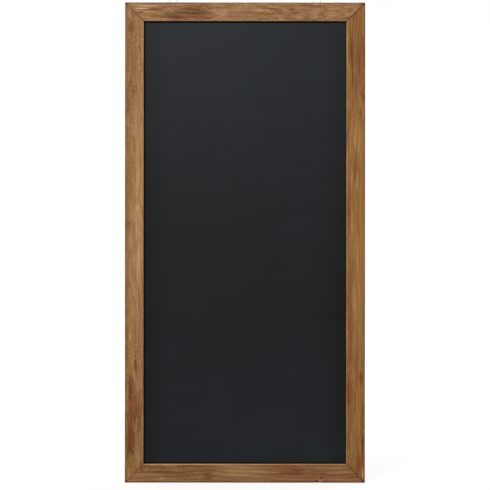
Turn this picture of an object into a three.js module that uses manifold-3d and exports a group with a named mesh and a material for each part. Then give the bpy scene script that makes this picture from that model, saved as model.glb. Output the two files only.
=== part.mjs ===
// A wall chalkboard. Four mitred wooden members, pinned at the corners by V-nails, hold a
// laminated writing panel in a rebate, where flat steel points keep it against the front lip.
// Two wire rings swing on folded straps at the top of the back, and two rubber bumpers at the
// bottom hold the board parallel to the wall.
//
// Millimetres. +Z is up, -Y faces the reader and +Y faces the wall. The origin is the middle
// of the board's bottom edge.
import * as THREE from "three";
import { mergeVertices } from "three/addons/utils/BufferGeometryUtils.js";
import Module from "manifold-3d";

const wasm = await Module();
wasm.setup();

// Frame
const BOARD_WIDTH = 500;
const BOARD_HEIGHT = 1000;
const MEMBER_WIDTH = 39;
const MEMBER_THICKNESS = 20;
const LIP_THICKNESS = 8; // the writing face lies this far behind the frame's face
const LIP_OVERLAP = 10; // the lip covers this much of the panel's edge
const OUTER_ARRIS = 2;
const INNER_ARRIS = 1;
const BACK_ARRIS = 0.8;
const ARRIS_STEPS = 6;

// Clearances
const FIT = 0.3; // between rigid pieces that meet
const GLUE_LINE = 0.1;
const PANEL_PLAY = 1; // from the panel's edge to the rebate's wall

// Panel
const WRITING_THICKNESS = 0.8;
const CORE_THICKNESS = 4;
const BACKING_THICKNESS = 0.4;

// V-nails, driven from the back across each mitre
const VNAIL_LEG = 6;
const VNAIL_STEEL = 0.5;
const VNAIL_DEPTH = 10;
const VNAIL_SINK = 0.2; // below the back face
const VNAILS_PER_CORNER = 2;

// Retaining points, driven into the rebate's wall behind the panel
const POINT_LENGTH = 16;
const POINT_BITE = 8; // the length that is in the wood
const POINT_WIDTH = 6;
const POINT_TIP = 4;
const POINT_STEEL = 0.5;
const POINTS_PER_STILE = 3;
const POINTS_PER_RAIL = 2;

// Hangers
const HANGER_INSET = 100; // from the board's side to the middle of the hanger
const HANGER_DROP = 5; // from the top edge down to the ring's pivot
const WIRE_DIAMETER = 2;
const RING_SIDE_PLAY = 2; // from the strap's side to the ring's leg
const RING_END_PLAY = 5; // from the strap's foot to the round end of the ring folded down
const RING_STEPS = 64;
const RING_SIDES = 10;
const STRAP_WIDTH = 10;
const STRAP_STEEL = 1;
const STRAP_NECK = 2.2; // from the eye's round to where the two layers lie together
const STRAP_HOLE_PLAY = 0.45; // all round the screw's thread

// Hanger screws
const SCREW_LENGTH = 13;
const SCREW_TIP = 3;
const THREAD_DIAMETER = 3.5;
const THREAD_CORE_DIAMETER = 2.4;
const THREAD_PITCH = 1.3;
const HEAD_DIAMETER = 7;
const HEAD_HEIGHT = 2;
const HEAD_RIM = 0.5;
const HEAD_PLAY = 2; // from the screw's head to the strap's neck
const CROSS_SLOT_LENGTH = 4;
const CROSS_SLOT_WIDTH = 0.9;
const CROSS_SLOT_DEPTH = 1.2;

// Wall bumpers
const BUMPER_DIAMETER = 14;
const BUMPER_ROUNDING = 1;
const BUMPER_INSET = 50; // from the board's side to the middle of the bumper
const WALL_GAP = 0.4; // from the wall to what stands out most of a hanger

const ROUND_SIDES = 32;
const SCREW_SIDES = 24;

// Places that follow from the sizes above
const FRONT_Y = -MEMBER_THICKNESS / 2;
const BACK_Y = MEMBER_THICKNESS / 2;
const LIP_BACK_Y = FRONT_Y + LIP_THICKNESS;
const WALL_WIDTH = MEMBER_WIDTH - LIP_OVERLAP; // the full-thickness part of a member
const PANEL_WIDTH = BOARD_WIDTH - 2 * (WALL_WIDTH + PANEL_PLAY);
const PANEL_HEIGHT = BOARD_HEIGHT - 2 * (WALL_WIDTH + PANEL_PLAY);
const WRITING_Y = LIP_BACK_Y + FIT;
const CORE_Y = WRITING_Y + WRITING_THICKNESS + GLUE_LINE;
const BACKING_Y = CORE_Y + CORE_THICKNESS + GLUE_LINE;
const POINT_Y = BACKING_Y + BACKING_THICKNESS + FIT;
const EYE_BORE_RADIUS = WIRE_DIAMETER / 2 + FIT;
const EYE_RADIUS = EYE_BORE_RADIUS + STRAP_STEEL;
const PIVOT_Y = BACK_Y + FIT + EYE_RADIUS;
const PIVOT_Z = BOARD_HEIGHT - HANGER_DROP;
const NECK_DROP = EYE_RADIUS + STRAP_NECK;
const SCREW_DROP = NECK_DROP + HEAD_PLAY + HEAD_DIAMETER / 2;
const SCREW_SEAT_Y = BACK_Y + FIT + 2 * STRAP_STEEL + FIT;
const WALL_Y = Math.max(PIVOT_Y + EYE_RADIUS, SCREW_SEAT_Y + HEAD_HEIGHT) + WALL_GAP;
const BUMPER_THICKNESS = WALL_Y - BACK_Y - FIT;

// Folded down, the ring lies round the strap.
const RING_RADIUS = STRAP_WIDTH / 2 + RING_SIDE_PLAY + WIRE_DIAMETER / 2;
const RING_REACH = SCREW_DROP + STRAP_WIDTH / 2 + RING_END_PLAY + WIRE_DIAMETER / 2;
const RING_LEG_LENGTH = RING_REACH - RING_RADIUS;
const RING_CORNER_RADIUS = RING_RADIUS - STRAP_WIDTH / 2 - FIT;

// Materials
const paint = (color, roughness, metalness = 0) =>
  new THREE.MeshStandardMaterial({ color, roughness, metalness });
const stainedWood = paint(0x8e6742, 0.55);
const blackLaminate = paint(0x26282a, 0.7);
const fibreboard = paint(0x7a5a3c, 0.85);
const brownPaper = paint(0x6b5138, 0.9);
const zincSteel = paint(0xb9bbbd, 0.35, 1);
const brightSteel = paint(0xc9cacc, 0.25, 1);
const blackRubber = paint(0x1c1c1d, 0.8);

// A closed geometry as a solid that can be cut and joined.
function solidOf(geometry) {
  const bare = geometry.clone();
  bare.deleteAttribute("normal");
  bare.deleteAttribute("uv");
  const merged = mergeVertices(bare, 1e-4);
  return new wasm.Manifold(
    new wasm.Mesh({
      numProp: 3,
      vertProperties: merged.attributes.position.array,
      triVerts: new Uint32Array(merged.index.array),
    }),
  );
}

// A solid as a geometry with flat faces.
function geometryOf(solid) {
  const { vertProperties, triVerts } = solid.getMesh();
  const indexed = new THREE.BufferGeometry()
    .setAttribute("position", new THREE.BufferAttribute(vertProperties, 3))
    .setIndex(new THREE.BufferAttribute(triVerts, 1));
  const geometry = indexed.toNonIndexed();
  geometry.computeVertexNormals();
  return geometry;
}

function piece(name, geometry, material, place = [0, 0, 0], turn = 0) {
  const mesh = new THREE.Mesh(geometry, material);
  mesh.name = name;
  mesh.position.set(...place);
  mesh.rotation.y = turn;
  return mesh;
}

const flatExtrusion = (shape, depth, curveSegments = ARRIS_STEPS) =>
  new THREE.ExtrudeGeometry(shape, { depth, curveSegments, bevelEnabled: false });

// Places along a line, a pitch apart and centred on zero.
const evenly = (count, pitch) =>
  Array.from({ length: count }, (_, i) => (i - (count - 1) / 2) * pitch);

// The section of a member: x is 0 at the outer edge and falls towards the panel, y is depth.
function memberProfile() {
  const inner = -MEMBER_WIDTH;
  const wall = -WALL_WIDTH;
  const quarter = Math.PI / 2;
  const outline = new THREE.Shape();
  outline.moveTo(-OUTER_ARRIS, FRONT_Y);
  outline.absarc(-OUTER_ARRIS, FRONT_Y + OUTER_ARRIS, OUTER_ARRIS, -quarter, 0, false);
  outline.lineTo(0, BACK_Y - BACK_ARRIS);
  outline.absarc(-BACK_ARRIS, BACK_Y - BACK_ARRIS, BACK_ARRIS, 0, quarter, false);
  outline.lineTo(wall, BACK_Y);
  outline.lineTo(wall, LIP_BACK_Y);
  outline.lineTo(inner, LIP_BACK_Y);
  outline.lineTo(inner, FRONT_Y + INNER_ARRIS);
  outline.absarc(inner + INNER_ARRIS, FRONT_Y + INNER_ARRIS, INNER_ARRIS, 2 * quarter, 3 * quarter, false);
  outline.closePath();
  return outline;
}

// A member along X with its outer edge at z = reach, mitred at both ends.
function mitredBar(length, reach) {
  const bar = flatExtrusion(memberProfile(), 1);
  const points = bar.attributes.position;
  for (let i = 0; i < points.count; i++) {
    const inward = -points.getX(i);
    const half = length / 2 - inward - FIT / Math.SQRT2;
    const end = points.getZ(i) > 0 ? -half : half;
    points.setXYZ(i, end, points.getY(i), reach - inward);
  }
  return bar;
}

// A V-nail, or the slot round one: its point at the origin, its legs along +X and +Z, its
// back edge at y = rise and its foot at y = -depth.
function vNail(play = 0, rise = 0) {
  const near = -play;
  const far = VNAIL_LEG + play;
  const steel = VNAIL_STEEL + play;
  const outline = new THREE.Shape([
    new THREE.Vector2(near, near),
    new THREE.Vector2(far, near),
    new THREE.Vector2(far, steel),
    new THREE.Vector2(steel, steel),
    new THREE.Vector2(steel, far),
    new THREE.Vector2(near, far),
  ]);
  return flatExtrusion(outline, VNAIL_DEPTH + play + rise)
    .rotateX(Math.PI / 2)
    .translate(0, rise, 0);
}

// A retaining point: its wide end at +X, its tip in the wood at -X, its front face at y = 0.
function retainingPoint() {
  const tail = POINT_LENGTH - POINT_BITE;
  const half = POINT_WIDTH / 2;
  const outline = new THREE.Shape([
    new THREE.Vector2(tail, -half),
    new THREE.Vector2(tail, half),
    new THREE.Vector2(POINT_TIP - POINT_BITE, half),
    new THREE.Vector2(-POINT_BITE, 0),
    new THREE.Vector2(POINT_TIP - POINT_BITE, -half),
  ]);
  return flatExtrusion(outline, POINT_STEEL).rotateX(Math.PI / 2).translate(0, POINT_STEEL, 0);
}

// The slot for a retaining point in a bar's rebate wall.
function pointSlot(along, reach) {
  const mouth = 1; // how far the cut runs out into the open rebate
  const height = POINT_BITE + FIT + mouth;
  return new THREE.BoxGeometry(POINT_WIDTH + 2 * FIT, POINT_STEEL + 2 * FIT, height).translate(
    along,
    POINT_Y + POINT_STEEL / 2,
    reach - WALL_WIDTH - mouth + height / 2,
  );
}

// The pilot hole of a hanger screw in the top rail.
function pilotHole(along, reach) {
  const mouth = 1;
  const depth = SCREW_LENGTH - (SCREW_SEAT_Y - BACK_Y) + FIT;
  return new THREE.CylinderGeometry(
    THREAD_DIAMETER / 2 + FIT,
    THREAD_DIAMETER / 2 + FIT,
    depth + mouth,
    ROUND_SIDES,
  ).translate(along, BACK_Y + (mouth - depth) / 2, reach - HANGER_DROP - SCREW_DROP);
}

// The V-nails of a corner are spread evenly over the width of its walls.
const vNailGap = (WALL_WIDTH - VNAILS_PER_CORNER * VNAIL_LEG) / (VNAILS_PER_CORNER + 1);
const vNailPlaces = Array.from(
  { length: VNAILS_PER_CORNER },
  (_, i) => vNailGap + i * (vNailGap + VNAIL_LEG),
);

function member(length, reach, pointPlaces, screwPlaces) {
  let solid = solidOf(mitredBar(length, reach));
  const cut = (geometry) => {
    solid = solid.subtract(solidOf(geometry));
  };
  for (const inset of vNailPlaces) {
    const along = length / 2 - inset;
    const slot = () => vNail(FIT, FIT + VNAIL_SINK);
    cut(slot().rotateY(Math.PI).translate(along, BACK_Y - VNAIL_SINK, reach - inset));
    cut(slot().rotateY(Math.PI / 2).translate(-along, BACK_Y - VNAIL_SINK, reach - inset));
  }
  for (const along of pointPlaces) cut(pointSlot(along, reach));
  for (const along of screwPlaces) cut(pilotHole(along, reach));
  return geometryOf(solid);
}

// The wire ring, standing up from its pivot: a bar through the strap, two legs and a round end.
class RingLine extends THREE.Curve {
  constructor() {
    super();
    const half = RING_RADIUS;
    const corner = RING_CORNER_RADIUS;
    this.path = new THREE.Path();
    this.path.moveTo(0, 0);
    this.path.lineTo(half - corner, 0);
    this.path.absarc(half - corner, corner, corner, -Math.PI / 2, 0, false);
    this.path.lineTo(half, RING_LEG_LENGTH);
    this.path.absarc(0, RING_LEG_LENGTH, half, 0, Math.PI, false);
    this.path.lineTo(-half, corner);
    this.path.absarc(corner - half, corner, corner, Math.PI, 1.5 * Math.PI, false);
    this.path.lineTo(0, 0);
  }
  getPoint(t, target = new THREE.Vector3()) {
    const { x, y } = this.path.getPointAt(t);
    return target.set(x, 0, y);
  }
}

// The folded strap, with the pivot at the origin. The section is drawn with x up and y depth.
function strap() {
  const face = 2 * STRAP_STEEL - EYE_RADIUS;
  const foot = -SCREW_DROP - STRAP_WIDTH / 2;
  const tangentTurn = Math.acos(EYE_RADIUS / Math.hypot(NECK_DROP, face));
  const leave = Math.PI + Math.atan2(-face, NECK_DROP) - tangentTurn;
  const section = new THREE.Shape();
  section.moveTo(foot, -EYE_RADIUS);
  section.lineTo(0, -EYE_RADIUS);
  section.absarc(0, 0, EYE_RADIUS, -Math.PI / 2, leave, false);
  section.lineTo(-NECK_DROP, face);
  section.lineTo(foot, face);
  section.closePath();
  section.holes.push(new THREE.Path().absarc(0, 0, EYE_BORE_RADIUS, 0, 2 * Math.PI, true));
  const folded = flatExtrusion(section, STRAP_WIDTH, ROUND_SIDES / 2)
    .translate(0, 0, -STRAP_WIDTH / 2)
    .rotateY(-Math.PI / 2);

  const half = STRAP_WIDTH / 2;
  const hole = THREAD_DIAMETER / 2 + STRAP_HOLE_PLAY;
  const top = 2 * EYE_RADIUS; // well above the eye
  const plan = new THREE.Shape();
  plan.moveTo(half, top);
  plan.lineTo(-half, top);
  plan.lineTo(-half, -SCREW_DROP);
  plan.absarc(0, -SCREW_DROP, half, Math.PI, 2 * Math.PI, false);
  plan.closePath();
  plan.holes.push(new THREE.Path().absarc(0, -SCREW_DROP, hole, 0, 2 * Math.PI, true));
  const thick = 4 * EYE_RADIUS; // right through the section
  const cutter = flatExtrusion(plan, thick, ROUND_SIDES / 2)
    .translate(0, 0, -thick / 2)
    .rotateX(Math.PI / 2);
  return geometryOf(solidOf(folded).intersect(solidOf(cutter)));
}

// A pan-head screw along Y, its head outwards and the underside of its head at the origin.
function screw() {
  const thread = THREAD_DIAMETER / 2;
  const core = THREAD_CORE_DIAMETER / 2;
  const head = HEAD_DIAMETER / 2;
  const profile = [new THREE.Vector2(0, -SCREW_LENGTH)];
  const turns = Math.floor((SCREW_LENGTH - SCREW_TIP - THREAD_PITCH) / THREAD_PITCH);
  const threadFoot = -SCREW_LENGTH + SCREW_TIP;
  profile.push(new THREE.Vector2(core, threadFoot));
  for (let i = 0; i < turns; i++) {
    const y = threadFoot + i * THREAD_PITCH;
    profile.push(new THREE.Vector2(thread, y + THREAD_PITCH / 2));
    profile.push(new THREE.Vector2(core, y + THREAD_PITCH));
  }
  profile.push(new THREE.Vector2(core, 0));
  profile.push(new THREE.Vector2(head, 0));
  profile.push(new THREE.Vector2(head, HEAD_RIM));
  const crown = HEAD_HEIGHT - HEAD_RIM;
  for (const part of [1 / 3, 2 / 3]) {
    const angle = (part * Math.PI) / 2;
    profile.push(new THREE.Vector2(head * Math.cos(angle), HEAD_RIM + crown * Math.sin(angle)));
  }
  profile.push(new THREE.Vector2(0, HEAD_HEIGHT));
  let solid = solidOf(new THREE.LatheGeometry(profile, SCREW_SIDES));
  for (const turn of [0, Math.PI / 2]) {
    const slot = new THREE.BoxGeometry(CROSS_SLOT_LENGTH, 2 * CROSS_SLOT_DEPTH, CROSS_SLOT_WIDTH)
      .rotateY(turn)
      .translate(0, HEAD_HEIGHT, 0);
    solid = solid.subtract(solidOf(slot));
  }
  return geometryOf(solid);
}

// A rubber bumper along Y, its glued face at the origin.
function bumper() {
  const radius = BUMPER_DIAMETER / 2;
  const rim = BUMPER_THICKNESS - BUMPER_ROUNDING;
  const profile = [new THREE.Vector2(0, 0), new THREE.Vector2(radius, 0)];
  for (let i = 0; i <= ARRIS_STEPS; i++) {
    const angle = (i / ARRIS_STEPS) * (Math.PI / 2);
    profile.push(
      new THREE.Vector2(
        radius - BUMPER_ROUNDING + BUMPER_ROUNDING * Math.cos(angle),
        rim + BUMPER_ROUNDING * Math.sin(angle),
      ),
    );
  }
  profile.push(new THREE.Vector2(0, BUMPER_THICKNESS));
  return new THREE.LatheGeometry(profile, ROUND_SIDES);
}

// One layer of the panel, its front face at y.
const panelLayer = (name, y, thickness, material) =>
  piece(name, new THREE.BoxGeometry(PANEL_WIDTH, thickness, PANEL_HEIGHT), material, [
    0,
    y + thickness / 2,
    0,
  ]);

// Everything that is centred on the board lies in this group.
const frame = new THREE.Group();
frame.position.z = BOARD_HEIGHT / 2;

const stilePoints = evenly(POINTS_PER_STILE, PANEL_HEIGHT / POINTS_PER_STILE);
const railPoints = evenly(POINTS_PER_RAIL, PANEL_WIDTH / POINTS_PER_RAIL);
const hangerPlaces = evenly(2, BOARD_WIDTH - 2 * HANGER_INSET);
const bumperPlaces = evenly(2, BOARD_WIDTH - 2 * BUMPER_INSET);
const halfWidth = BOARD_WIDTH / 2;
const halfHeight = BOARD_HEIGHT / 2;
const quarterTurn = Math.PI / 2;

const topRail = member(BOARD_WIDTH, halfHeight, railPoints, hangerPlaces);
const bottomRail = member(BOARD_WIDTH, halfHeight, railPoints, []);
const stile = member(BOARD_HEIGHT, halfWidth, stilePoints, []);
frame.add(piece("top_rail", topRail, stainedWood));
frame.add(piece("bottom_rail", bottomRail, stainedWood, [0, 0, 0], Math.PI));
frame.add(piece("left_stile", stile, stainedWood, [0, 0, 0], -quarterTurn));
frame.add(piece("right_stile", stile, stainedWood, [0, 0, 0], quarterTurn));

frame.add(panelLayer("writing_surface", WRITING_Y, WRITING_THICKNESS, blackLaminate));
frame.add(panelLayer("panel_core", CORE_Y, CORE_THICKNESS, fibreboard));
frame.add(panelLayer("panel_backing", BACKING_Y, BACKING_THICKNESS, brownPaper));

// Corners: name, side, end, and the turn that points the V-nail's legs inwards.
const corners = [
  ["bottom_left", -1, -1, 0],
  ["top_left", -1, 1, quarterTurn],
  ["top_right", 1, 1, 2 * quarterTurn],
  ["bottom_right", 1, -1, -quarterTurn],
];
for (const [corner, side, end, turn] of corners)
  vNailPlaces.forEach((inset, i) => {
    const place = [side * (halfWidth - inset), BACK_Y - VNAIL_SINK, end * (halfHeight - inset)];
    frame.add(piece(`v_nail_${corner}_${i + 1}`, vNail(), zincSteel, place, turn));
  });

// Retaining points: which member, its reach, where they lie along it, and the member's turn.
const pointRows = [
  ["top", halfHeight, railPoints, 0],
  ["bottom", halfHeight, railPoints, 2 * quarterTurn],
  ["left", halfWidth, stilePoints, -quarterTurn],
  ["right", halfWidth, stilePoints, quarterTurn],
];
for (const [row, reach, places, turn] of pointRows) {
  const side = new THREE.Group();
  side.rotation.y = turn;
  places.forEach((along, i) => {
    const place = [along, POINT_Y, reach - WALL_WIDTH];
    side.add(piece(`retaining_point_${row}_${i + 1}`, retainingPoint(), zincSteel, place, quarterTurn));
  });
  frame.add(side);
}

// Hangers: the pivot of each is its group's origin.
const board = new THREE.Group();
board.add(frame);
["left", "right"].forEach((side, i) => {
  const hanger = new THREE.Group();
  hanger.position.set(hangerPlaces[i], PIVOT_Y, PIVOT_Z);
  const wire = WIRE_DIAMETER / 2;
  const ring = new THREE.TubeGeometry(new RingLine(), RING_STEPS, wire, RING_SIDES, true);
  hanger.add(piece(`hanging_ring_${side}`, ring, brightSteel));
  hanger.add(piece(`hanger_strap_${side}`, strap(), zincSteel));
  hanger.add(piece(`hanger_screw_${side}`, screw(), zincSteel, [0, SCREW_SEAT_Y - PIVOT_Y, -SCREW_DROP]));
  board.add(hanger);
});

["left", "right"].forEach((side, i) => {
  const place = [bumperPlaces[i], BACK_Y + FIT, WALL_WIDTH / 2];
  board.add(piece(`wall_bumper_${side}`, bumper(), blackRubber, place));
});

export default board;
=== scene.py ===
import math
import random
from dataclasses import dataclass
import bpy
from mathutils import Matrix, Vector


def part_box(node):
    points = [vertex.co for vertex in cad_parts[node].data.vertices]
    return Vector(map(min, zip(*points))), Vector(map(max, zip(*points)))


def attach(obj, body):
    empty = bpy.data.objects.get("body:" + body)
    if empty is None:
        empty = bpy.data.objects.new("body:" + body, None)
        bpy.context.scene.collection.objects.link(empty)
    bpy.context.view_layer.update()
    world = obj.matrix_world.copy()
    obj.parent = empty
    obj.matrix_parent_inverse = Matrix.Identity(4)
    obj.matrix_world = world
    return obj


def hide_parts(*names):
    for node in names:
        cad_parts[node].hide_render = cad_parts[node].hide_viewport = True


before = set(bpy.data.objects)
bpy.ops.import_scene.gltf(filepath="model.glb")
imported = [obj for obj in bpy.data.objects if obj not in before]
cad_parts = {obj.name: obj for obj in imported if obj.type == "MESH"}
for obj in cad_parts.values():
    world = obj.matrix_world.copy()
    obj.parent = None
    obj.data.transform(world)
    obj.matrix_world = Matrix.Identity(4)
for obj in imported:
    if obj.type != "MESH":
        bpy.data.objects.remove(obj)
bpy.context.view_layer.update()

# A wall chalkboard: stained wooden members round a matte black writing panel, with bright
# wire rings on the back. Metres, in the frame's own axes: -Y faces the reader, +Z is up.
from types import SimpleNamespace

import bmesh
import bpy
from mathutils import Matrix, Vector, noise

MM = 0.001

# Sizes of the board, read from the frame
rail_low, rail_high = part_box("top_rail")
BOARD_HEIGHT = rail_high.z
BOARD_WIDTH = 2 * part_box("right_stile")[1].x
HALF_HEIGHT = BOARD_HEIGHT / 2
HALF_WIDTH = BOARD_WIDTH / 2
MEMBER_WIDTH = BOARD_HEIGHT - rail_low.z
FRONT = rail_low.y
BACK = rail_high.y
FIT = 0.3 * MM  # the gap between the wood and what lies in it
LIP_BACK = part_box("writing_surface")[0].y - FIT
REBATE_WIDTH = 10 * MM
WALL_WIDTH = MEMBER_WIDTH - REBATE_WIDTH
OUTER_ARRIS = 2 * MM
INNER_ARRIS = 1 * MM
BACK_ARRIS = 0.8 * MM

# The photograph's view, from lengths in its own pixels, one of which covers PIXEL on the board
PHOTO_HEIGHT = 490
BOARD_WIDTH_IN_PHOTO = 240.2
PIXEL = BOARD_WIDTH / BOARD_WIDTH_IN_PHOTO
CAMERA_DISTANCE = 5.0
CAMERA_BELOW_MIDDLE = 2.43 * PIXEL
CAMERA_ROLL = math.radians(0.05)

# Light from all round, as a share of the level at which a colour renders as it is written
AMBIENT = 0.42
LAMP_DISTANCE = 4.0

# The floor, and the glow on it from near the board to further out
FLOOR_REACH = 15
FLOOR_DROP = 0.2 * MM
FLOOR_TONE = 0.42
GLOW_NEAR = 0.685
GLOW_FAR = 0.9
GLOW_STARTS = 1.5
GLOW_ENDS = 4.0


def linear(code):
    """A colour written as six hex digits, as the linear colour that Blender takes."""
    channels = [int(code[i : i + 2], 16) / 255 for i in (0, 2, 4)]
    return (*((c / 12.92 if c <= 0.04045 else ((c + 0.055) / 1.055) ** 2.4) for c in channels), 1)


# Materials

SEED_STEP = Vector((1370, 211, 97))  # how far one seed's noise lies from the next one's, in mm


class Nodes:
    """A node tree being made. Most calls add nodes and give the last one's output."""

    def __init__(self, tree):
        self.tree = tree

    def add(self, kind, *values, **settings):
        """Adds a node, feeds its sockets in their order, and gives the node itself."""
        node = self.tree.nodes.new("ShaderNode" + kind)
        for key, value in settings.items():
            setattr(node, key, value)
        for socket, value in zip(node.inputs, values):
            self.feed(socket, value)
        return node

    def feed(self, socket, value):
        """Links or sets a socket, or leaves it alone for None."""
        if isinstance(value, bpy.types.NodeSocket):
            self.tree.links.new(value, socket)
        elif value is not None:
            socket.default_value = value

    def math(self, operation, a, b=None, c=None, clamp=False):
        return self.add("Math", a, b, c, operation=operation, use_clamp=clamp).outputs[0]

    def times(self, a, b):
        return self.math("MULTIPLY", a, b)

    def minus(self, a, b):
        return self.math("SUBTRACT", a, b)

    def total(self, first, *terms):
        """A sum. After the first, a pair stands for a value times a weight."""
        result = first
        for term in terms:
            if isinstance(term, tuple):
                result = self.math("MULTIPLY_ADD", *term, result)
            else:
                result = self.math("ADD", result, term)
        return result

    def vector(self, operation, a, b=None):
        node = self.add("VectorMath", a, b, operation=operation)
        return node.outputs["Value" if operation == "LENGTH" else "Vector"]

    def split(self, vector):
        return self.add("SeparateXYZ", vector).outputs[:]

    def join(self, x, y, z):
        return self.add("CombineXYZ", x, y, z).outputs[0]

    def step(self, value, low, high, at_low=0.0, at_high=1.0):
        """A smooth step from at_low, up to low, to at_high, from high on."""
        values = (value, low, high, at_low, at_high)
        return self.add("MapRange", *values, interpolation_type="SMOOTHSTEP").outputs[0]


class Paint(Nodes):
    """The nodes of a material, all of whose lengths are millimetres."""

    def __init__(self, name, seed=0):
        self.material = bpy.data.materials.new(name)
        self.material.use_nodes = True
        super().__init__(self.material.node_tree)
        self.surface = self.tree.nodes["Principled BSDF"]
        metres = self.add("TexCoord").outputs["Object"]
        self.mm = self.vector("MULTIPLY", metres, (1000, 1000, 1000))
        self.grain = self.vector("ADD", self.mm, seed * SEED_STEP)

    def set(self, **values):
        """Sets the shader's sockets, their names written with _ for a space."""
        for key, value in values.items():
            self.feed(self.surface.inputs[key.replace("_", " ")], value)
        return self.material

    def noise(self, waves, detail=2.0, roughness=0.5, at=None, colour=False):
        """Noise about 0.5, with a wavelength along each axis."""
        place = self.vector("MULTIPLY", self.grain if at is None else at, [1 / w for w in waves])
        node = self.add("TexNoise", place, None, 1.0, detail, roughness)
        return node.outputs["Color" if colour else "Fac"]

    def swing(self, value, amount):
        """What a noise about 0.5 adds to a value that it moves up and down."""
        return self.times(self.minus(value, 0.5), amount)

    def drift(self, waves, amounts):
        """A vector that wanders about zero, by an amount along each axis."""
        wander = self.vector("SUBTRACT", self.noise(waves, colour=True), (0.5, 0.5, 0.5))
        return self.vector("MULTIPLY", wander, amounts)

    def threads(self, at, wave, width):
        """1 along thin curling lines, and 0 between them."""
        height = self.minus(self.noise((wave, wave, wave), 1.0, at=at), 0.5)
        return self.step(self.math("ABSOLUTE", height), 0.0, width, 1.0, 0.0)

    def near(self, place, full, gone, axes=(1, 1, 1)):
        """1 up to full from a place, and 0 from gone on, measured along the axes given as 1."""
        offset = self.vector("MULTIPLY", self.vector("SUBTRACT", self.mm, place), axes)
        return self.step(self.vector("LENGTH", offset), full, gone, 1.0, 0.0)

    def mix(self, share, a, b):
        """A mix of two colours, whose sockets come after those for numbers and vectors."""
        node = self.add("Mix", share, data_type="RGBA")
        self.feed(node.inputs[6], a)
        self.feed(node.inputs[7], b)
        return node.outputs[2]

    def ramp(self, value, codes, places=(0.0, 0.25, 0.5, 0.75, 1.0)):
        """A colour ramp through hex colours, each at its place."""
        node = self.add("ValToRGB", value)
        elements = node.color_ramp.elements
        while len(elements) < len(codes):
            elements.new(0.5)
        for element, place, code in zip(elements, places, codes):
            element.position = place
            element.color = linear(code)
        return node.outputs["Color"]

    def bump(self, height, depth):
        """Sets the surface's relief: height 0 to 1 stands for depth."""
        node = self.add("Bump")
        node.inputs["Strength"].default_value = 1.0
        node.inputs["Distance"].default_value = depth * MM
        self.feed(node.inputs["Height"], height)
        self.set(Normal=node.outputs[0])


# Wood. Each member is cut from a board whose growth rings lie round a slanting pith. The tone
# runs from 0, dark, to 1, light, and the hue from -1, red, through plain to 1, golden.
PLAIN = ("522c0c", "70461b", "89623a", "a57e55", "bd9b71")
RED = ("55240a", "75401b", "875834", "a3714c", "bb906b")
GOLD = ("4f2c08", "6f4812", "8b622b", "a78045", "bf9e65")

# Stains, knots and streaks on the front. A row says how far one lies from the member's left or
# top end and from its outer edge, with half its length and half its width, all in millimetres,
# and then what it adds to the tone, the hue and the flecks. Flecks above 0 are ripples, and
# below 0 they take away some of the grain's own.

TOP_RAIL_MARKS = (
    (44, 7.5, 24, 1.7, 0.36, -0.1),
    (35, 12.5, 20, 2.2, 0.42, -0.2, 0.4),
    (57, 14.5, 24, 1.7, -0.46, 0.5),
    (32, 21, 9, 2.6, -0.5, 0.8),
    (52, 27, 26, 10, 0.08, 0.9),
    (44, 24, 11, 3, -0.14),
    (91, 14, 9, 3.5, 0.12, -0.6),
    (88, 27, 20, 6, -0.16, 0.4),
    (118, 22, 62, 16, -0.16, 0.2),
    (146, 19, 54, 10, -0.19, 0.5, -0.6),
    (160, 10, 50, 7, -0.2),
    (198, 26, 28, 9, 0.16, 0.1),
    (106, 31.5, 36, 3, -0.26, -1.6),
    (157, 32, 32, 4, -0.3, -0.9),
    (205, 11, 38, 1.1, -0.22, -0.8),
    (226, 18, 10, 5, 0.03, -0.4, 1.2),
    (276, 16, 14, 4.5, 0.08, 0.3, 1.5),
    (288, 25, 26, 5, -0.17, 0.7),
    (308, 9, 18, 3.5, 0.14, 0.1),
    (310, 17, 16, 3.5, -0.13),
    (322, 21, 12, 8, -0.03, -1.0),
    (326, 33, 10, 5, 0.18, -0.2, 1.2),
    (344, 15, 11, 4, -0.15),
    (352, 19, 15, 8, -0.2, -0.6),
    (377, 32, 12, 3, -0.18, -0.4),
    (376, 26, 20, 8, -0.04, 0.6, 1.0),
    (428, 22, 46, 16, 0.01, 0.6),
    (408, 7, 12, 4, -0.14, -0.4, 1.3),
    (406, 17, 20, 4.5, 0.16, 0.2),
    (460, 7, 9, 3, -0.14),
    (468, 15, 9, 6, -0.2, 0.9),
    (494, 4, 7, 4, -0.25, 1.4),
)

BOTTOM_RAIL_MARKS = (
    (35, 27, 6, 6, -0.25),
    (78, 9, 5, 3, 0.25, -0.6, 0.6),
    (68, 32, 32, 5.5, -0.24),
    (135, 15, 28, 1.1, -0.22),
    (130, 18, 30, 1, 0.16),
    (130, 24, 60, 18, -0.12, -0.2),
    (175, 15, 17, 9, -0.2, 0.4),
    (200, 11, 34, 1.1, -0.2, 0.2),
    (242, 24, 64, 18, 0.2, 0.5),
    (313, 15, 28, 1.2, -0.12),
    (343, 25, 38, 13, -0.18, -0.6),
    (413, 19, 9, 1.3, -0.42, -0.6),
    (410, 11, 3.5, 4, -0.28, -0.3),
    (399, 4, 5, 2.5, -0.5),
    (407, 4, 3.8, 1.5, 0.65),
    (472, 11, 26, 5, -0.08, -1.2),
)

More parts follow.
